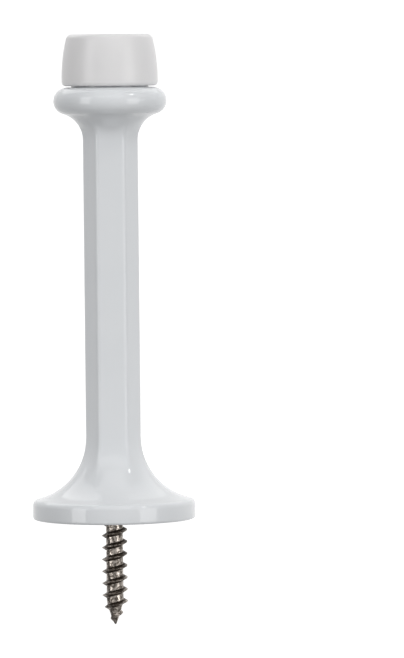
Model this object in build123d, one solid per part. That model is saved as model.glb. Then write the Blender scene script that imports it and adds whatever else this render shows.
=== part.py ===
from build123d import *
from math import atan, atan2, cos, degrees, radians, sqrt, tan
import os

# Rigid door stop: a cast post with a round foot, a hexagonal shaft and a beaded collar, a push-on
# rubber bumper, and a hanger screw with a wood thread for the wall and a machine thread in the post.
# Millimetres. +Z runs from the wall towards the door. The origin is the centre of the face that
# meets the wall. One flat of the shaft faces -Y, so two of its edges lie at +X and -X.

# Overall
projection = 76.2  # wall to the bumper's face, nominal 3 in
base_diameter = 25.6

# Foot of the post
foot_plane = 2.65  # height that the foot's flare runs out to
foot_flare_radius = 10.5
foot_top_edge_radius = 0.7
foot_bottom_edge_radius = 0.45
recess_depth = 0.7  # the underside is relieved, so that only its rim bears on the wall
rim_width = 2.2
boss_diameter = 8.0
boss_relief = 0.2  # the boss round the screw stops short of the wall

# Shaft
across_flats = 7.7
shaft_edge_radius = 0.85

# Collar
collar_diameter = 17.8
collar_thickness = 4.3  # its edge is a full round
neck_flare_radius = 4.25
neck_sink = 0.06  # how far the neck's flare runs into the collar's bead

# Seat and stud for the bumper
seat_diameter = 12.2
seat_height = 0.2
stud_diameter = 7.2
stud_height = 5.6
stud_chamfer = 0.5
barb_diameter = 7.9
barb_length = 1.2
barb_count = 2
barb_pitch = 2.1
first_barb = 0.9  # height of the lowest barb's ledge above the seat

# Bumper
bumper_height = 8.1
bumper_diameter = 15.15
bumper_side_radius = 27.0
bumper_widest = 1.1  # height of the widest place above the bottom
bumper_top_edge_radius = 0.7
bumper_bottom_edge_radius = 0.6
socket_clearance = 0.05  # radial, over the stud's barbs
socket_end_gap = 0.3
socket_mouth_chamfer = 0.3

# Hanger screw
screw_projection = 16.7  # wall face to the point
thread_diameter = 4.0
core_diameter = 2.65
thread_pitch = 1.88
thread_flank = 30.0  # degrees, on each side of the crest
crest_width = 0.06
thread_root_sink = 0.15  # how deep the ridge is rooted in the core
thread_top_gap = 0.1  # between the wall face and the end of the thread
first_crest = 1.76  # depth of the first crest on the +X side
point_length = 2.9
point_diameter = 0.3
thread_end_height = 1.3  # of the thread's lower end above the point
machine_end_diameter = 4.0
machine_end_length = 9.0
machine_end_chamfer = 0.4
shoulder_length = 0.6  # the core swells to the machine end over this length

# Places worked out from the sizes above
base_radius = base_diameter / 2
shaft_corner = (across_flats / 2 - shaft_edge_radius) / cos(radians(30)) + shaft_edge_radius
bumper_bottom = projection - bumper_height
collar_top = bumper_bottom - seat_height
bead_radius = collar_thickness / 2
bead_height = collar_top - bead_radius
bead_centre = collar_diameter / 2 - bead_radius
hole_end = boss_relief + machine_end_length
core, crest = core_diameter / 2, thread_diameter / 2

# The neck's flare touches the bead where the line between their two centres crosses it.
neck_centre = shaft_corner + neck_flare_radius
centre_distance = neck_flare_radius + bead_radius
centre_drop = sqrt(centre_distance**2 - (neck_centre - bead_centre) ** 2)
neck_plane = bead_height - centre_drop + neck_flare_radius + neck_sink
neck_trim = bead_centre + (neck_centre - bead_centre) * bead_radius / centre_distance

UPWARD = (Align.CENTER, Align.CENTER, Align.MIN)
SPARE = 1.0  # extra material, or extra cut, that a later step trims or that lies in the open


def turned(*outline):
    """A solid of revolution about Z from an outline of (radius, height) points."""
    return revolve(Plane.XZ * make_face(Polyline(*outline, close=True)), Axis.Z)


def disc(radius, low, high):
    return Pos(0, 0, low) * Cylinder(radius, high - low, align=UPWARD)


def blend_to_plate(body, height, radius):
    """Fillet the seam between the shaft and a plate's face at this height. The plate's own edge,
    which is the longest one there, is left."""
    seam = body.edges().filter_by_position(Axis.Z, height, height).sort_by(Edge.length)[:-1]
    return fillet(seam, radius)


def flared_shaft():
    """The hexagonal shaft, blended all round into a plate at each end and then cut to round."""
    hexagon = RegularPolygon(across_flats / 2, 6, major_radius=False)
    section = fillet(hexagon.vertices(), shaft_edge_radius)
    foot_plate = max(shaft_corner + foot_flare_radius, base_radius) + SPARE
    neck_plate = max(shaft_corner + neck_flare_radius, neck_trim) + SPARE
    body = extrude(section, bead_height)
    body += disc(foot_plate, 0, foot_plane) + disc(neck_plate, neck_plane, bead_height)
    body = blend_to_plate(body, foot_plane, foot_flare_radius)
    body = blend_to_plate(body, neck_plane, neck_flare_radius)
    middle = (foot_plane + neck_plane) / 2
    return body & (disc(base_radius, 0, middle) + disc(neck_trim, middle, bead_height))


def round_foot_edges(body):
    """Round the foot's rim above and below. The rim is the widest cylinder."""
    for above, radius in ((True, foot_top_edge_radius), (False, foot_bottom_edge_radius)):
        rim = body.faces().filter_by(GeomType.CYLINDER).sort_by(lambda face: face.radius)[-1]
        around = rim.edges().filter_by(GeomType.LINE, reverse=True)
        side = around.filter_by(lambda edge: (edge.center().Z > foot_plane / 2) == above)
        body = fillet(side, radius)
    return body


def collar():
    """A disc whose edge is a full round."""
    web = Pos(bead_centre / 2, bead_height) * Rectangle(bead_centre, collar_thickness)
    bead = Pos(bead_centre, bead_height) * Circle(bead_radius)
    return revolve(Plane.XZ * (web + bead), Axis.Z)


def stud():
    """The seat on the collar, and the barbed stud that the bumper is pushed on to."""
    shank = disc(stud_diameter / 2, bumper_bottom, bumper_bottom + stud_height)
    body = chamfer(shank.edges().group_by(Axis.Z)[-1], stud_chamfer)
    body += disc(seat_diameter / 2, bead_height, bumper_bottom)
    for number in range(barb_count):
        ledge = bumper_bottom + first_barb + number * barb_pitch
        body += turned(
            (0, ledge),
            (barb_diameter / 2, ledge),
            (stud_diameter / 2, ledge + barb_length),
            (0, ledge + barb_length),
        )
    return body


def make_post():
    body = round_foot_edges(flared_shaft()) + collar() + stud()
    rim_inside = base_radius - rim_width
    body -= turned(
        (0, -SPARE),
        (rim_inside, -SPARE),
        (rim_inside, 0),
        (rim_inside - recess_depth, recess_depth),
        (boss_diameter / 2, recess_depth),
        (boss_diameter / 2, boss_relief),
        (0, boss_relief),
    )
    return body - disc(machine_end_diameter / 2, 0, hole_end)


def make_bumper():
    """A barrel-sided rubber cap with a blind socket for the stud."""
    widest = bumper_bottom + bumper_widest

    def corner(height):
        sag = bumper_side_radius - sqrt(bumper_side_radius**2 - (height - widest) ** 2)
        return bumper_diameter / 2 - sag, height

    top, bottom = corner(projection), corner(bumper_bottom)
    side = ThreePointArc(bottom, (bumper_diameter / 2, widest), top)
    face = make_face(side + Polyline(top, (0, projection), (0, bumper_bottom), bottom))
    for edge_radius, height in (
        (bumper_top_edge_radius, projection),
        (bumper_bottom_edge_radius, bumper_bottom),
    ):
        level = face.vertices().filter_by_position(Axis.Y, height, height)
        face = fillet(level.sort_by(Axis.X)[-1], edge_radius)
    socket = barb_diameter / 2 + socket_clearance
    socket_end = bumper_bottom + stud_height + socket_end_gap
    return revolve(Plane.XZ * face, Axis.Z) - turned(
        (0, bumper_bottom - SPARE),
        (socket + socket_mouth_chamfer, bumper_bottom - SPARE),
        (socket + socket_mouth_chamfer, bumper_bottom),
        (socket, bumper_bottom + socket_mouth_chamfer),
        (socket, socket_end),
        (0, socket_end),
    )


def ridge(core_radius, helix):
    """A stretch of right-hand thread, rooted in a core of this radius, along a helix that starts
    on the XZ plane at height 0."""
    height = crest - core
    root = core_radius - thread_root_sink
    half_width = crest_width / 2 + (height + thread_root_sink) * tan(radians(thread_flank))
    outline = Polyline(
        (root, -half_width),
        (core_radius + height, -crest_width / 2),
        (core_radius + height, crest_width / 2),
        (root, half_width),
        close=True,
    )
    return sweep(Plane.XZ * make_face(outline), helix.edge(), is_frenet=True)


def make_screw():
    """Wood thread below the wall face, and the machine-threaded end, drawn plain, in the post."""
    point, machine = point_diameter / 2, machine_end_diameter / 2
    body = turned(
        (0, -screw_projection),
        (point, -screw_projection),
        (core, point_length - screw_projection),
        (core, boss_relief - shoulder_length),
        (machine, boss_relief),
        (machine, hole_end - machine_end_chamfer),
        (machine - machine_end_chamfer, hole_end),
        (0, hole_end),
    )

    # The thread starts on the point, where its helix is conical, and goes on up the core.
    taper = (core - point) / point_length
    start_radius = point + taper * thread_end_height
    conical = Helix(
        thread_pitch,
        point_length - thread_end_height,
        start_radius,
        cone_angle=degrees(atan(taper)),
    )
    top = conical @ 1
    turn_at_top = degrees(atan2(top.Y, top.X))
    half_root = crest_width / 2 + (crest - core + thread_root_sink) * tan(radians(thread_flank))
    straight_length = screw_projection - point_length - thread_top_gap - half_root
    straight = Helix(thread_pitch, straight_length, core)

    # Turned as a whole, so that a crest passes +X at the stated depth
    phase = -360 * (screw_projection - point_length - first_crest) / thread_pitch
    low, high = thread_end_height - screw_projection, point_length - screw_projection
    body += Pos(0, 0, low) * Rot(0, 0, phase - turn_at_top) * ridge(start_radius, conical)
    body += Pos(0, 0, high) * Rot(0, 0, phase) * ridge(core, straight)
    return body


if __name__ == "__main__":
    os.makedirs("parts", exist_ok=True)
    for node, solid in (
        ("post", make_post()),
        ("rubber_bumper", make_bumper()),
        ("hanger_screw", make_screw()),
    ):
        export_step(solid, f"parts/{node}.step")
        print(node, round(solid.volume, 1), "mm3")
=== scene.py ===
"""Rigid door stop: the post, the rubber bumper and the hanger screw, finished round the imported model.

Run it as a script. Each piece and the studio has its own operator, and a panel in the 3D view's
sidebar lists them. Lengths are in metres, +Z runs from the wall towards the door, and the origin
is the centre of the face that meets the wall.
"""

from math import acos, atan2, cos, degrees, pi, radians, sin, sqrt, tan

import bmesh
import bpy
from bpy.props import FloatProperty, FloatVectorProperty, IntProperty, PointerProperty
from mathutils import Matrix, Vector


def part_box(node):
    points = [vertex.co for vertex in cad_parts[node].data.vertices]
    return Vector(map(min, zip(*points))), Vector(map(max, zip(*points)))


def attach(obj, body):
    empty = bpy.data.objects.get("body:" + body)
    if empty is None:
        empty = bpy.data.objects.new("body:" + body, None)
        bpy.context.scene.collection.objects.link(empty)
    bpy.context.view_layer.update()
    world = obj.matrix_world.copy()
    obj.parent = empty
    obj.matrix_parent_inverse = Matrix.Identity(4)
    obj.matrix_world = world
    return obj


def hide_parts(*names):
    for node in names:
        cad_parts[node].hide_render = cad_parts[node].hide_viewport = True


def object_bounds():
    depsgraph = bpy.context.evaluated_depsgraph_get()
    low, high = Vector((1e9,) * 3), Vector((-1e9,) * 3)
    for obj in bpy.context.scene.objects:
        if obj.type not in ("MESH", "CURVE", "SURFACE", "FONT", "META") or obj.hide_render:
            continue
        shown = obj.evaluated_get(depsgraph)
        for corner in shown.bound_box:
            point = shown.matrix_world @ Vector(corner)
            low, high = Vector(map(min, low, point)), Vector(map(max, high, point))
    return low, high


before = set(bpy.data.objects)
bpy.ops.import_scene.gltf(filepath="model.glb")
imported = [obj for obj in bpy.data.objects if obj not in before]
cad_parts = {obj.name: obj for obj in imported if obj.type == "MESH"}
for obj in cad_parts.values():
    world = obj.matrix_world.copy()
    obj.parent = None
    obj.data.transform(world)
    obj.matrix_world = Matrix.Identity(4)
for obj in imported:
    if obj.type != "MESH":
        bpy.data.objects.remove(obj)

bl_info = {
    "name": "Rigid door stop",
    "version": (1, 0, 0),
    "blender": (4, 5, 0),
    "location": "3D View > Sidebar > Door stop",
    "description": "Builds a rigid door stop's post, bumper and screw, and a studio to show it in",
    "category": "Object",
}

MM = 0.001
CAD_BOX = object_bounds()
POST_LOW, POST_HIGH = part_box("post")
BUMPER_LOW, BUMPER_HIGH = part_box("rubber_bumper")
SCREW_LOW, SCREW_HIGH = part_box("hanger_screw")
MERGE_DISTANCE = 0.002 * MM
SHARP_ANGLE = radians(40)  # an edge that turns by more than this is shaded as an edge
THREAD_FLANK = radians(30)  # on each side of a thread's crest
POINT_BULGE = 0.75  # 1 makes the screw's point a straight cone, and less makes it fuller
POINT_BLUNT = 0.04  # share of the screw's width that is left at its tip
UNDERSIDE_ROUNDING = 0.12 * MM  # of the steps under the foot
MIX_A, MIX_B = 6, 7  # a Mix node's two colour inputs, which share their names with other kinds


def linear(hex_colour):
    """An sRGB hex colour as linear red, green, blue and alpha."""
    channels = [int(hex_colour[at : at + 2], 16) / 255 for at in (1, 3, 5)]
    return [c / 12.92 if c <= 0.04045 else ((c + 0.055) / 1.055) ** 2.4 for c in channels] + [1.0]


def length(name, metres, description):
    return FloatProperty(
        name=name, description=description, default=metres, min=0.0, precision=5, unit="LENGTH"
    )


def colour(name, hex_colour, description):
    return FloatVectorProperty(
        name=name,
        description=description,
        default=linear(hex_colour),
        size=4,
        min=0.0,
        max=1.0,
        subtype="COLOR",
    )


class PostSizes(bpy.types.PropertyGroup):
    # The foot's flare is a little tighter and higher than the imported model's, and its rim rounder.
    base_diameter: length("Base diameter", POST_HIGH.x - POST_LOW.x, "Across the round foot")
    foot_plane: length("Foot plane", 2.9 * MM, "Height that the foot's flare runs out to")
    foot_flare: length("Foot flare", 10.0 * MM, "Radius of the flare from the shaft to the foot")
    foot_fade: length("Foot fade", 1.9 * MM, "How far the flare spreads before it is round")
    foot_top_edge: length("Foot top edge", 0.9 * MM, "Rounding of the foot's upper rim")
    foot_bottom_edge: length("Foot bottom edge", 0.45 * MM, "Rounding of the foot's lower rim")
    rim_width: length("Rim width", 2.2 * MM, "Ring of the underside that bears on the wall")
    recess: length("Recess", 0.7 * MM, "Depth of the relief inside that ring")
    boss_diameter: length("Boss diameter", 8.0 * MM, "Boss round the screw, in the recess")
    boss_relief: length("Boss relief", 0.2 * MM, "Gap between the boss and the wall")
    hole_diameter: length("Hole diameter", 4.04 * MM, "Blind hole for the machine thread")
    hole_end: length("Hole end", SCREW_HIGH.z + 0.02 * MM, "Height of the blind hole's end")
    across_flats: length("Across flats", 7.7 * MM, "Hexagonal shaft, flat to flat")
    shaft_edge: length("Shaft edge", 0.85 * MM, "Rounding of the shaft's six edges")
    collar_diameter: length("Collar diameter", 17.8 * MM, "Across the collar's bead")
    collar_thickness: length("Collar thickness", 4.3 * MM, "Height of the bead, a full round")
    neck_flare: length("Neck flare", 4.25 * MM, "Radius of the flare from the shaft to the collar")
    neck_fade: length("Neck fade", 1.2 * MM, "How far the neck spreads before it is round")
    seat_diameter: length("Seat diameter", 12.2 * MM, "Low step that the bumper stands on")
    seat_height: length("Seat height", 0.2 * MM, "Height of that step above the collar")
    stud_diameter: length("Stud diameter", 7.2 * MM, "Shank of the stud inside the bumper")
    stud_chamfer: length("Stud chamfer", 0.5 * MM, "Lead on the stud's end")
    barb_diameter: length("Barb diameter", 7.9 * MM, "Across the barbs that hold the bumper")
    barb_length: length("Barb length", 1.2 * MM, "Height of one barb")
    barb_pitch: length("Barb pitch", 2.1 * MM, "From one barb to the next")
    first_barb: length("First barb", 0.9 * MM, "Height of the lowest barb above the seat")
    barb_count: IntProperty(name="Barbs", description="Barbs on the stud", default=2, min=0, max=2)


class BumperSizes(bpy.types.PropertyGroup):
    diameter: length("Diameter", BUMPER_HIGH.x - BUMPER_LOW.x, "Across the widest place")
    side_radius: length("Side radius", 27.0 * MM, "Radius of the barrel-shaped side")
    widest: length("Widest", 1.1 * MM, "Height of the widest place above the bottom")
    top_edge: length("Top edge", 0.7 * MM, "Rounding of the face that meets the door")
    bottom_edge: length("Bottom edge", 0.6 * MM, "Rounding of the lower edge")
    socket_diameter: length("Socket diameter", 8.0 * MM, "Blind socket for the stud")
    socket_gap: length("Socket gap", 0.3 * MM, "Between the stud's end and the socket's end")
    mouth_chamfer: length("Mouth chamfer", 0.3 * MM, "Lead at the socket's mouth")


class ScrewSizes(bpy.types.PropertyGroup):
    pitch: length("Pitch", 1.88 * MM, "Of the wood thread")
    core_diameter: length("Core diameter", 2.65 * MM, "Of the wood thread")
    crest_width: length("Crest width", 0.08 * MM, "Flat on the wood thread's crest")
    first_crest: length("First crest", 1.76 * MM, "Depth of the first crest on the +X side")
    point_length: length("Point length", 3.6 * MM, "Length over which the thread tapers")
    thread_top: length("Thread top", 0.15 * MM, "Depth at which the wood thread ends")
    machine_pitch: length("Machine pitch", 0.7 * MM, "Of the thread inside the post")
    machine_depth: length("Machine depth", 0.43 * MM, "Of the thread inside the post")
    shoulder: length("Shoulder", 0.35 * MM, "Plain length between the two threads")


class Finishes(bpy.types.PropertyGroup):
    enamel: colour("Enamel", "#E9EBED", "White enamel")
    enamel_thin: colour("Thin enamel", "#E3E6E9", "Where the enamel flowed thinner")
    rubber: colour("Rubber", "#E6E5E6", "White rubber")
    rubber_bloom: colour("Rubber bloom", "#EEEDED", "Where filler has bloomed to the surface")
    plating: colour("Plating", "#DCD2C8", "Bright nickel on the screw")
    # Painted shade: the dark colour laid on the screw thread's flanks and in its corners
    plating_shade: colour("Plating shade", "#4A4138", "Painted shade on the thread's flanks and corners")


class Studio(bpy.types.PropertyGroup):
    floor_drop: length("Floor drop", 300 * MM, "From the screw's point down to the floor")
    sweep_radius: length("Sweep radius", 2.2, "Of the round floor, out to its wall")
    wall_height: length("Wall height", 1.6, "Of that wall")
    distance: length("Camera distance", 864 * MM, "From the stop's axis")
    eye_height: length("Eye height", 72.3 * MM, "Of the camera above the wall face")
    aim_height: length("Aim height", 29.75 * MM, "Of the point that the camera looks at")
    aim_side: length("Aim side", 14.1 * MM, "Of that point and the camera, to the right of the axis")
    lens: FloatProperty(
        name="Lens", description="Focal length", default=301.0, unit="CAMERA", min=1.0
    )
    lean: FloatProperty(
        name="Lean",
        description="How far the stop's top leans to the left",
        default=radians(0.56),
        subtype="ANGLE",
    )


# Meshes


def outline(bm, points, bevels=()):
    """An open outline in the XZ plane. bevels lists (point's number, offset, segments)."""
    corners = [bm.verts.new((x, 0.0, z)) for x, z in points]
    for first, second in zip(corners, corners[1:]):
        bm.edges.new((first, second))
    for number, offset, segments in bevels:
        bmesh.ops.bevel(
            bm,
            geom=[corners[number]],
            offset=offset,
            offset_type="OFFSET",
            affect="VERTICES",
            segments=segments,
            profile=0.5,
            material=-1,
        )


def arc(centre, radius, start, end, steps):
    """Points (reach, height) along an arc, without its first. Angles are degrees from +reach."""
    for step in range(1, steps + 1):
        angle = radians(start + (end - start) * step / steps)
        yield centre[0] + radius * cos(angle), centre[1] + radius * sin(angle)


def fade(done):
    """1 at 0, 0 from 1 on, and level at both ends."""
    left = 1 - min(max(done, 0.0), 1.0)
    return left * left * (3 - 2 * left)


def piece(bm, name, material, body, cad_node):
    """Close a bmesh into a smooth-shaded piece that stands for a CAD node and rides on its body."""
    bmesh.ops.remove_doubles(bm, verts=bm.verts, dist=MERGE_DISTANCE)
    bmesh.ops.recalc_face_normals(bm, faces=bm.faces)
    if any(not edge.is_manifold for edge in bm.edges):
        raise RuntimeError(f"{name} isn't closed")
    for face in bm.faces:
        face.smooth = True
    for edge in bm.edges:
        edge.smooth = edge.calc_face_angle() < SHARP_ANGLE
    mesh = bpy.data.meshes.new(name)
    bm.to_mesh(mesh)
    bm.free()
    mesh.materials.append(material)
    made = bpy.data.objects.new(name, mesh)
    bpy.context.scene.collection.objects.link(made)
    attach(made, body)
    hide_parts(cad_node)
    return made


class Lathe:
    """Grows a skin from the shaft's outline, ring by ring, along the post."""

    FLAT_CUTS = 13
    EDGE_SEGMENTS = 8
    SHAFT_STEPS = 14
    NECK_STEPS = 16
    BEAD_STEPS = 24
    FOOT_STEPS = 15

    def __init__(self, bm, across_flats, edge_radius, height):
        self.bm = bm
        corner = across_flats / 2 / cos(pi / 6)
        at_start = Matrix.Translation((0, 0, height)) @ Matrix.Rotation(pi / 6, 4, "Z")
        sharp = bmesh.ops.create_circle(bm, radius=corner, segments=6, matrix=at_start)["verts"]
        bmesh.ops.bevel(
            bm,
            geom=sharp,
            offset=edge_radius * tan(pi / 6),
            offset_type="OFFSET",
            affect="VERTICES",
            segments=self.EDGE_SEGMENTS,
            profile=0.5,
            material=-1,
        )
        flats = [edge for edge in bm.edges if edge.calc_length() > corner / 2]
        bmesh.ops.subdivide_edges(bm, edges=flats, cuts=self.FLAT_CUTS)
        self.start = list(bm.edges)
        self.reach = max(vertex.co.xy.length for vertex in bm.verts)
        # How far each rib of the skin falls short of the shaft's corners
        self.shortfall = bm.verts.layers.float.new("shortfall")
        for vertex in bm.verts:
            vertex[self.shortfall] = self.reach - vertex.co.xy.length

    def grow(self, ring, reach, height, hexagonal=0.0):
        """Extrude a ring of edges to this reach and height, and return the new ring."""
        grown = bmesh.ops.extrude_edge_only(self.bm, edges=ring)["geom"]
        for vertex in grown:
            if isinstance(vertex, bmesh.types.BMVert):
                radius = reach - hexagonal * vertex[self.shortfall]
                vertex.co.xy *= radius / vertex.co.xy.length
                vertex.co.z = height
        return [item for item in grown if isinstance(item, bmesh.types.BMEdge)]


def build_post(sizes):
    """The post's skin, from the blind hole for the screw round to the end of the stud."""
    bm = bmesh.new()
    half_flats = sizes.across_flats / 2
    corner = (half_flats - sizes.shaft_edge) / cos(pi / 6) + sizes.shaft_edge
    base = sizes.base_diameter / 2
    seat = BUMPER_LOW.z
    collar_top = seat - sizes.seat_height
    bead = sizes.collar_thickness / 2
    bead_at = (sizes.collar_diameter / 2 - bead, collar_top - bead)

    # Each flare's centre is its radius out from the shaft's corners. The neck's touches the bead.
    foot_at = (corner + sizes.foot_flare, sizes.foot_plane + sizes.foot_flare)
    neck_out = corner + sizes.neck_flare
    drop = sqrt((sizes.neck_flare + bead) ** 2 - (neck_out - bead_at[0]) ** 2)
    neck_at = (neck_out, bead_at[1] - drop)
    touch = degrees(atan2(drop, bead_at[0] - neck_out))

    lathe = Lathe(bm, sizes.across_flats, sizes.shaft_edge, foot_at[1])

    # Upwards: shaft, neck, bead, seat and stud
    ring = lathe.start
    for step in range(1, lathe.SHAFT_STEPS + 1):
        height = foot_at[1] + (neck_at[1] - foot_at[1]) * step / lathe.SHAFT_STEPS
        ring = lathe.grow(ring, corner, height, 1.0)
    for reach, height in arc(neck_at, sizes.neck_flare, 180, touch, lathe.NECK_STEPS):
        ring = lathe.grow(ring, reach, height, fade((reach - corner) / sizes.neck_fade))
    for reach, height in arc(bead_at, bead, touch - 180, 90, lathe.BEAD_STEPS):
        ring = lathe.grow(ring, reach, height)
    stud, barb = sizes.stud_diameter / 2, sizes.barb_diameter / 2
    seat_edge = sizes.seat_diameter / 2
    for reach, height in ((seat_edge, collar_top), (seat_edge, seat), (stud, seat)):
        ring = lathe.grow(ring, reach, height)
    for number in range(sizes.barb_count):
        ledge = seat + sizes.first_barb + number * sizes.barb_pitch
        for reach, height in ((stud, ledge), (barb, ledge), (stud, ledge + sizes.barb_length)):
            ring = lathe.grow(ring, reach, height)
    ring = lathe.grow(ring, stud, POST_HIGH.z - sizes.stud_chamfer)
    ring = lathe.grow(ring, stud - sizes.stud_chamfer, POST_HIGH.z)
    bmesh.ops.edgeloop_fill(bm, edges=ring)

    # Downwards: foot, rim, underside and blind hole
    ring = lathe.start
    run_out = degrees(acos((base - foot_at[0]) / sizes.foot_flare))
    for reach, height in arc(
        foot_at, sizes.foot_flare, 180, 360 - run_out, lathe.FOOT_STEPS
    ):
        ring = lathe.grow(ring, reach, height, fade((reach - corner) / sizes.foot_fade))
    upper_rim = ring
    lower_rim = lathe.grow(upper_rim, base, POST_LOW.z)
    inside = base - sizes.rim_width
    boss, hole = sizes.boss_diameter / 2, sizes.hole_diameter / 2
    ring = lathe.grow(lower_rim, inside, POST_LOW.z)
    soft = [ring]
    for reach, height in (
        (inside - sizes.recess, sizes.recess),
        (boss, sizes.recess),
        (boss, sizes.boss_relief),
    ):
        ring = lathe.grow(ring, reach, height)
        soft.append(ring)
    ring = lathe.grow(ring, hole, sizes.boss_relief)
    ring = lathe.grow(ring, hole, sizes.hole_end)
    bmesh.ops.edgeloop_fill(bm, edges=ring)

    # The ribs' faces wind both ways until now, which a bevel can't follow.
    bmesh.ops.recalc_face_normals(bm, faces=bm.faces)

    # A rounding's offset is its radius times the tangent of half the turn, near 40 and 45 degrees.
    rounded = [(upper_rim, sizes.foot_top_edge * tan(radians(40)), 8)]
    rounded.append((lower_rim, sizes.foot_bottom_edge, 6))
    rounded += [(edges, UNDERSIDE_ROUNDING, 3) for edges in soft]
    for edges, offset, segments in rounded:
        bmesh.ops.bevel(
            bm,
            geom=edges,
            offset=offset,
            offset_type="OFFSET",
            affect="EDGES",
            segments=segments,
            profile=0.5,
            material=-1,
        )
    bm.verts.layers.float.remove(lathe.shortfall)
    return bm


def spin_round(bm, steps):
    """Spin everything in a bmesh once round the Z axis."""
    bmesh.ops.spin(
        bm,
        geom=list(bm.verts) + list(bm.edges),
        cent=(0, 0, 0),
        axis=(0, 0, 1),
        dvec=(0, 0, 0),
        angle=2 * pi,
        steps=steps,
        use_merge=True,
    )


def build_bumper(sizes, stud_end):
    """The bumper as an outline spun round the axis, from the socket's end round to the top face."""
    bm = bmesh.new()
    widest, half = BUMPER_LOW.z + sizes.widest, sizes.diameter / 2
    centre = (half - sizes.side_radius, widest)

    def side_angle(height):
        return degrees(atan2(height - widest, sqrt(sizes.side_radius**2 - (height - widest) ** 2)))

    low, high = side_angle(BUMPER_LOW.z), side_angle(BUMPER_HIGH.z)
    side = list(arc(centre, sizes.side_radius, low, high, 8))
    first = next(arc(centre, sizes.side_radius, low, low, 1))
    socket, end = sizes.socket_diameter / 2, stud_end + sizes.socket_gap
    mouth = sizes.mouth_chamfer
    points = [
        (0.0, end),
        (socket, end),
        (socket, BUMPER_LOW.z + mouth),
        (socket + mouth, BUMPER_LOW.z),
        first,
        *side,
        (0.0, BUMPER_HIGH.z),
    ]
    first_at, top_at = 4, 4 + len(side)
    outline(bm, points, ((first_at, sizes.bottom_edge, 6), (top_at, sizes.top_edge, 8)))
    spin_round(bm, 144)
    return bm


def add_thread(bm, pitch, root, crest, crest_width, flank, low, high, crest_height, rounding):
    """A right-hand thread between two heights, open at both ends.

    One pitch of its outline is spun up the helix, and each turn merges with the next. A crest
    passes +X at crest_height.
    """
    steps_per_turn = 64
    made = bmesh.new()
    half_crest = crest_width / 2
    half_root = half_crest + (crest - root) * tan(flank)
    turns_below = int((crest_height - low) / pitch) + 2
    start = crest_height - turns_below * pitch
    corners = [
        (root, start - pitch / 2),
        (root, start - half_root),
        (crest, start - half_crest),
        (crest, start + half_crest),
        (root, start + half_root),
        (root, start + pitch / 2),
    ]
    outline(made, corners, [(number, rounding, 3) for number in (1, 2, 3, 4)])
    bmesh.ops.spin(
        made,
        geom=list(made.verts) + list(made.edges),
        cent=(0, 0, 0),
        axis=(0, 0, 1),
        dvec=(0, 0, pitch / steps_per_turn),
        angle=2 * pi,
        steps=steps_per_turn,
        use_merge=False,
    )
    one_turn = list(made.verts) + list(made.edges) + list(made.faces)
    for turn in range(1, int((high - start) / pitch) + 2):
        copied = bmesh.ops.duplicate(made, geom=one_turn)["geom"]
        moved = [item for item in copied if isinstance(item, bmesh.types.BMVert)]
        bmesh.ops.translate(made, verts=moved, vec=(0, 0, turn * pitch))
    bmesh.ops.remove_doubles(made, verts=made.verts, dist=MERGE_DISTANCE)
    for height, upwards in ((low, False), (high, True)):
        bmesh.ops.bisect_plane(
            made,
            geom=list(made.verts) + list(made.edges) + list(made.faces),
            plane_co=(0, 0, height),
            plane_no=(0, 0, 1),
            clear_outer=upwards,
            clear_inner=not upwards,
        )
    scratch = bpy.data.meshes.new("thread")
    made.to_mesh(scratch)
    made.free()
    bm.from_mesh(scratch)
    bpy.data.meshes.remove(scratch)


def open_edges(bm, height=None):
    """The open rim at this height, or every open edge."""
    return [
        edge
        for edge in bm.edges
        if edge.is_boundary
        and (height is None or all(abs(v.co.z - height) < MERGE_DISTANCE for v in edge.verts))
    ]


def build_screw(sizes):
    """Wood thread and point below the wall face, and the machine thread inside the post."""
    bm = bmesh.new()
    tip, crest = SCREW_LOW.z, SCREW_HIGH.x
    wood_top, machine_low = -sizes.thread_top, sizes.shoulder - sizes.thread_top
    add_thread(
        bm,
        pitch=sizes.pitch,
        root=sizes.core_diameter / 2,
        crest=crest,
        crest_width=sizes.crest_width,
        flank=THREAD_FLANK,
        low=tip,
        high=wood_top,
        crest_height=-sizes.first_crest,
        rounding=0.05 * MM,
    )
    # The point: the thread and its core shrink together towards the tip, which stays a little blunt.
    for vertex in bm.verts:
        along = (vertex.co.z - tip) / sizes.point_length
        if along < 1:
            vertex.co.xy *= max(along, 0.0) ** POINT_BULGE * (1 - POINT_BLUNT) + POINT_BLUNT
    add_thread(
        bm,
        pitch=sizes.machine_pitch,
        root=crest - sizes.machine_depth,
        crest=crest,
        crest_width=sizes.machine_pitch / 8,
        flank=THREAD_FLANK,
        low=machine_low,
        high=SCREW_HIGH.z,
        crest_height=SCREW_HIGH.z / 2,
        rounding=0.03 * MM,
    )
    bmesh.ops.bridge_loops(bm, edges=open_edges(bm, wood_top) + open_edges(bm, machine_low))
    bmesh.ops.holes_fill(bm, edges=open_edges(bm), sides=0)
    return bm


# Materials


def node(tree, kind, inputs=(), **settings):
    """Add a node. inputs gives its sockets a value, or the socket that feeds them."""
    made = tree.nodes.new(kind)
    for name, value in settings.items():
        setattr(made, name, value)
    for key, value in dict(inputs).items():
        if isinstance(value, bpy.types.NodeSocket):
            tree.links.new(value, made.inputs[key])
        else:
            made.inputs[key].default_value = value
    return made


def new_material(name):
    """An empty material and its tree, with Object coordinates ready."""
    material = bpy.data.materials.new(name)
    material.use_nodes = True
    tree = material.node_tree
    tree.nodes.clear()
    return material, tree, node(tree, "ShaderNodeTexCoord").outputs["Object"]


def per_metre(millimetres):
    """A noise's scale for features of this size."""
    return 1 / (millimetres * MM)


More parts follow.
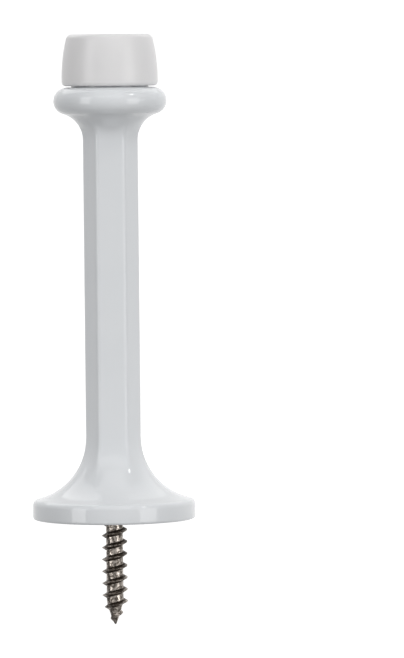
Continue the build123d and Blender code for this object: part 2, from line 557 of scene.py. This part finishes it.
def enamel_material(finishes):
    """Stoved enamel sprayed on a zinc casting.

    A hard wet gloss over an even white. The coat has the faint ripple of sprayed enamel, and is a
    shade cooler where it flowed thinner.
    """
    material, tree, place = new_material("stoved_white_enamel")
    flow = node(tree, "ShaderNodeTexNoise", {"Vector": place, "Scale": per_metre(9), "Detail": 2.0})
    tone = node(
        tree,
        "ShaderNodeMix",
        {"Factor": flow.outputs["Fac"], MIX_A: finishes.enamel_thin[:], MIX_B: finishes.enamel[:]},
        data_type="RGBA",
    )
    peel = node(
        tree, "ShaderNodeTexNoise", {"Vector": place, "Scale": per_metre(1.1), "Detail": 1.5}
    )
    ripple = node(
        tree,
        "ShaderNodeBump",
        {"Height": peel.outputs["Fac"], "Strength": 0.35, "Distance": 0.02 * MM},
    )
    gloss = node(
        tree,
        "ShaderNodeMapRange",
        {"Value": flow.outputs["Fac"], "To Min": 0.045, "To Max": 0.08},
    )
    shader = node(
        tree,
        "ShaderNodeBsdfPrincipled",
        {
            "Base Color": tone.outputs[2],
            "Roughness": gloss.outputs["Result"],
            "IOR": 1.52,
            "Normal": ripple.outputs["Normal"],
        },
    )
    node(tree, "ShaderNodeOutputMaterial", {"Surface": shader.outputs["BSDF"]})
    return material


def rubber_material(finishes):
    """Filled white rubber from a lightly etched mould.

    A satin skin with soft, wide highlights. Its grain is drawn at 0.4 mm, coarser than the real
    etch of about 0.1 mm, which would be too fine to show.
    """
    material, tree, place = new_material("moulded_white_rubber")
    cloud = node(tree, "ShaderNodeTexNoise", {"Vector": place, "Scale": per_metre(6), "Detail": 3.0})
    tone = node(
        tree,
        "ShaderNodeMix",
        {"Factor": cloud.outputs["Fac"], MIX_A: finishes.rubber[:], MIX_B: finishes.rubber_bloom[:]},
        data_type="RGBA",
    )
    grain = node(
        tree, "ShaderNodeTexNoise", {"Vector": place, "Scale": per_metre(0.4), "Detail": 2.0}
    )
    etch = node(
        tree,
        "ShaderNodeBump",
        {"Height": grain.outputs["Fac"], "Strength": 0.4, "Distance": 0.012 * MM},
    )
    skin = node(
        tree,
        "ShaderNodeMapRange",
        {"Value": cloud.outputs["Fac"], "To Min": 0.26, "To Max": 0.34},
    )
    shader = node(
        tree,
        "ShaderNodeBsdfPrincipled",
        {
            "Base Color": tone.outputs[2],
            "Roughness": skin.outputs["Result"],
            "IOR": 1.5,
            "Normal": etch.outputs["Normal"],
        },
    )
    node(tree, "ShaderNodeOutputMaterial", {"Surface": shader.outputs["BSDF"]})
    return material


def plating_material(finishes, root, crest):
    """Bright nickel on a rolled steel screw.

    Its colour carries painted light and shade set by the distance from the axis: warm and bright on
    the lands between the turns, a little duller along the crests, and painted shade on the flanks
    and in the corners. The dies left small dents and blotches, drawn at 0.4 mm, coarser than real ones.
    """
    material, tree, place = new_material("nickel_plated_rolled_steel")
    around = node(tree, "ShaderNodeSeparateXYZ", {"Vector": place})
    flat = node(tree, "ShaderNodeCombineXYZ", {"X": around.outputs["X"], "Y": around.outputs["Y"]})
    reach = node(tree, "ShaderNodeVectorMath", {0: flat.outputs["Vector"]}, operation="LENGTH")
    lift = node(
        tree,
        "ShaderNodeMapRange",
        {"Value": reach.outputs["Value"], "From Min": root, "From Max": crest},
    )
    # Painted light and shade by distance from the axis: light on the lands and crests, dark on the flanks
    # and in the corners
    flank_shade = node(tree, "ShaderNodeValToRGB", {"Fac": lift.outputs["Result"]})
    bands = flank_shade.color_ramp.elements
    bands[0].position, bands[0].color = 0.03, (1.0, 1.0, 1.0, 1.0)
    bands[1].position, bands[1].color = 0.1, (0.0, 0.0, 0.0, 1.0)
    for position, lightness in ((0.45, 0.0), (0.65, 0.75)):
        bands.new(position).color = (lightness, lightness, lightness, 1.0)
    blotch = node(
        tree, "ShaderNodeTexNoise", {"Vector": place, "Scale": per_metre(0.4), "Detail": 3.0}
    )
    patchy = node(
        tree,
        "ShaderNodeMapRange",
        {"Value": blotch.outputs["Fac"], "From Min": 0.42, "From Max": 0.6, "To Min": 0.12, "To Max": 0.9},
    )
    # The painted shade on the flanks, times the dies' random blotches
    shade_and_blotches = node(
        tree,
        "ShaderNodeMath",
        {0: flank_shade.outputs["Color"], 1: patchy.outputs["Result"]},
        operation="MULTIPLY",
    )
    tone = node(
        tree,
        "ShaderNodeMix",
        {"Factor": shade_and_blotches.outputs["Value"], MIX_A: finishes.plating_shade[:], MIX_B: finishes.plating[:]},
        data_type="RGBA",
    )
    streaks = node(
        tree, "ShaderNodeTexNoise", {"Vector": place, "Scale": per_metre(0.45), "Detail": 3.0}
    )
    rolled = node(
        tree,
        "ShaderNodeBump",
        {"Height": streaks.outputs["Fac"], "Strength": 1.0, "Distance": 0.09 * MM},
    )
    polish = node(
        tree,
        "ShaderNodeMapRange",
        {"Value": shade_and_blotches.outputs["Value"], "To Min": 0.42, "To Max": 0.2},
    )
    shader = node(
        tree,
        "ShaderNodeBsdfPrincipled",
        {
            "Base Color": tone.outputs[2],
            "Metallic": 1.0,
            "Roughness": polish.outputs["Result"],
            "Normal": rolled.outputs["Normal"],
        },
    )
    node(tree, "ShaderNodeOutputMaterial", {"Surface": shader.outputs["BSDF"]})
    return material


# Studio


def sweep_material():
    """Matt white paper, spotless and evenly lit, that lets a camera behind it see through."""
    material, tree, place = new_material("matt_white_paper")
    fibre = node(tree, "ShaderNodeTexNoise", {"Vector": place, "Scale": per_metre(40)})
    tone = node(
        tree,
        "ShaderNodeMix",
        {"Factor": fibre.outputs["Fac"], MIX_A: linear("#F4F4F4"), MIX_B: linear("#F7F7F7")},
        data_type="RGBA",
    )
    paper = node(
        tree,
        "ShaderNodeBsdfPrincipled",
        {
            "Base Color": tone.outputs[2],
            "Roughness": 0.9,
            "Emission Color": (1.0, 1.0, 1.0, 1.0),
            "Emission Strength": 0.68,
        },
    )
    clear = node(tree, "ShaderNodeBsdfTransparent")
    side = node(tree, "ShaderNodeNewGeometry")
    both = node(
        tree,
        "ShaderNodeMixShader",
        {0: side.outputs["Backfacing"], 1: paper.outputs["BSDF"], 2: clear.outputs["BSDF"]},
    )
    node(tree, "ShaderNodeOutputMaterial", {"Surface": both.outputs["Shader"]})
    return material


def add_sweep(studio):
    """A round floor that turns up into a wall. It is seen, but sends no light to the stop."""
    floor = SCREW_LOW.z - studio.floor_drop
    bend = studio.wall_height / 2
    bm = bmesh.new()
    out = studio.sweep_radius
    outline(bm, ((0, floor), (out, floor), (out, floor + studio.wall_height)), ((1, bend, 16),))
    spin_round(bm, 96)
    bmesh.ops.remove_doubles(bm, verts=bm.verts, dist=MERGE_DISTANCE)
    bmesh.ops.recalc_face_normals(bm, faces=bm.faces)
    bm.faces.ensure_lookup_table()
    lowest = min(bm.faces, key=lambda face: face.calc_center_median().z)
    if lowest.normal.z < 0:
        bmesh.ops.reverse_faces(bm, faces=bm.faces)
    for face in bm.faces:
        face.smooth = True
    mesh = bpy.data.meshes.new("studio_sweep")
    bm.to_mesh(mesh)
    bm.free()
    mesh.materials.append(sweep_material())
    sweep = bpy.data.objects.new("studio_sweep", mesh)
    bpy.context.scene.collection.objects.link(sweep)
    sweep.visible_diffuse = False
    sweep.visible_glossy = False
    sweep.visible_shadow = False


# Azimuth from the camera's side round to the right, elevation, width and height in degrees, and
# radiance
LAMPS = (
    ("left_softbox", -51, 8, 22, 54, 2.3),
    ("right_softbox", 50, 0, 26, 40, 2.25),
    ("front_softbox", 0, 45, 50, 30, 0.9),
    ("top_softbox", 0, 85, 40, 40, 0.9),
    ("left_rim_light", -143, 48, 36, 38, 0.95),
    ("right_rim_light", 143, 48, 36, 38, 0.6),
    ("high_left_lamp", -56, 50, 7, 6, 3.0),
    ("high_right_lamp", 60, 50, 8, 6, 14.0),
)
LAMP_DISTANCE = 1.2


def add_lamps():
    """Softboxes and lamps round the stop, each turned towards its middle."""
    middle = Vector((0, 0, (CAD_BOX[0].z + CAD_BOX[1].z) / 2))
    for name, azimuth, elevation, width, height, radiance in LAMPS:
        turn, lift = radians(azimuth), radians(elevation)
        towards = Vector((sin(turn) * cos(lift), -cos(turn) * cos(lift), sin(lift)))
        light = bpy.data.lights.new(name, "AREA")
        light.shape = "RECTANGLE"
        light.size = 2 * LAMP_DISTANCE * tan(radians(width / 2))
        light.size_y = 2 * LAMP_DISTANCE * tan(radians(height / 2))
        light.energy = radiance * pi * light.size * light.size_y
        lamp = bpy.data.objects.new(name, light)
        lamp.location = middle + towards * LAMP_DISTANCE
        lamp.rotation_euler = towards.to_track_quat("Z", "Y").to_euler()
        lamp.visible_camera = False
        bpy.context.scene.collection.objects.link(lamp)


# Where the room's own light comes from, and its radiance straight from there
GLOWS = (((0, -1, 0), 0.49), ((0, 1, 0), 1.05), ((1, 0, 0), 0.28))


def add_world():
    """The room's soft light: strongest from behind, weaker from the front and the right, and none
    from straight above or below.

    Where the camera sees past the floor, it sees plain white.
    """
    world = bpy.data.worlds.new("studio_light")
    world.use_nodes = True
    tree = world.node_tree
    tree.nodes.clear()
    direction = node(tree, "ShaderNodeTexCoord").outputs["Generated"]
    total = 0.0
    for towards, radiance in GLOWS:
        facing = node(
            tree, "ShaderNodeVectorMath", {0: direction, 1: towards}, operation="DOT_PRODUCT"
        )
        near = node(
            tree, "ShaderNodeMapRange", {"Value": facing.outputs["Value"], "To Max": radiance}
        )
        total = node(
            tree, "ShaderNodeMath", {0: near.outputs["Result"], 1: total}, operation="ADD"
        ).outputs["Value"]
    room = node(tree, "ShaderNodeBackground", {"Color": (1, 1, 1, 1), "Strength": total})
    white = node(tree, "ShaderNodeBackground", {"Color": (1, 1, 1, 1)})
    seen = node(tree, "ShaderNodeLightPath").outputs["Is Camera Ray"]
    both = node(
        tree,
        "ShaderNodeMixShader",
        {0: seen, 1: room.outputs["Background"], 2: white.outputs["Background"]},
    )
    node(tree, "ShaderNodeOutputWorld", {"Surface": both.outputs["Shader"]})
    bpy.context.scene.world = world


def add_camera(studio):
    """A long lens a little above the middle of the stop, which stands to the left of the view."""
    camera = bpy.data.cameras.new("camera")
    camera.lens = studio.lens
    camera.clip_start, camera.clip_end = 10 * MM, 20.0
    seen_from = bpy.data.objects.new("camera", camera)
    seen_from.location = (studio.aim_side, -studio.distance, studio.eye_height)
    aim = Vector((studio.aim_side, 0, studio.aim_height)) - seen_from.location
    roll = Matrix.Rotation(-studio.lean, 4, "Z")
    turned = aim.to_track_quat("-Z", "Y").to_matrix().to_4x4() @ roll
    seen_from.rotation_euler = turned.to_euler()
    bpy.context.scene.collection.objects.link(seen_from)
    bpy.context.scene.camera = seen_from


# Operators and panel


class DOORSTOP_OT_post(bpy.types.Operator):
    """Build the enamelled post"""

    bl_idname = "door_stop.post"
    bl_label = "Post"

    def execute(self, context):
        material = enamel_material(context.scene.door_stop_finishes)
        bm = build_post(context.scene.door_stop_post)
        piece(bm, "enamelled_post", material, "stop", "post")
        return {"FINISHED"}


class DOORSTOP_OT_bumper(bpy.types.Operator):
    """Build the rubber bumper on the post's stud"""

    bl_idname = "door_stop.bumper"
    bl_label = "Bumper"

    def execute(self, context):
        material = rubber_material(context.scene.door_stop_finishes)
        bm = build_bumper(context.scene.door_stop_bumper, POST_HIGH.z)
        piece(bm, "moulded_bumper", material, "bumper", "rubber_bumper")
        return {"FINISHED"}


class DOORSTOP_OT_screw(bpy.types.Operator):
    """Build the plated hanger screw"""

    bl_idname = "door_stop.screw"
    bl_label = "Hanger screw"

    def execute(self, context):
        sizes = context.scene.door_stop_screw
        root, crest = sizes.core_diameter / 2, SCREW_HIGH.x
        material = plating_material(context.scene.door_stop_finishes, root, crest)
        piece(build_screw(sizes), "plated_screw", material, "stop", "hanger_screw")
        return {"FINISHED"}


class DOORSTOP_OT_studio(bpy.types.Operator):
    """Add the pale floor, the soft light and the camera"""

    bl_idname = "door_stop.studio"
    bl_label = "Studio"

    def execute(self, context):
        studio = context.scene.door_stop_studio
        add_camera(studio)
        add_world()
        add_lamps()
        add_sweep(studio)
        context.scene.view_settings.view_transform = "Standard"
        return {"FINISHED"}


STEPS = (DOORSTOP_OT_post, DOORSTOP_OT_bumper, DOORSTOP_OT_screw, DOORSTOP_OT_studio)
SETTINGS = {
    "door_stop_post": PostSizes,
    "door_stop_bumper": BumperSizes,
    "door_stop_screw": ScrewSizes,
    "door_stop_finishes": Finishes,
    "door_stop_studio": Studio,
}


class DOORSTOP_PT_panel(bpy.types.Panel):
    """Lists the pieces, the studio and their settings"""

    bl_idname = "DOORSTOP_PT_panel"
    bl_label = "Door stop"
    bl_space_type = "VIEW_3D"
    bl_region_type = "UI"
    bl_category = "Door stop"

    def draw(self, context):
        for step in STEPS:
            self.layout.operator(step.bl_idname)
        for name, group in SETTINGS.items():
            box = self.layout.box()
            box.label(text=group.__name__)
            for setting in group.__annotations__:
                box.prop(getattr(context.scene, name), setting)


def register():
    for made in (*SETTINGS.values(), *STEPS, DOORSTOP_PT_panel):
        bpy.utils.register_class(made)
    for name, group in SETTINGS.items():
        setattr(bpy.types.Scene, name, PointerProperty(type=group))


def unregister():
    for name in SETTINGS:
        delattr(bpy.types.Scene, name)
    for made in reversed((*SETTINGS.values(), *STEPS, DOORSTOP_PT_panel)):
        bpy.utils.unregister_class(made)


def main():
    register()
    bpy.ops.door_stop.post()
    bpy.ops.door_stop.bumper()
    bpy.ops.door_stop.screw()
    bpy.ops.door_stop.studio()


if __name__ == "__main__":
    main()
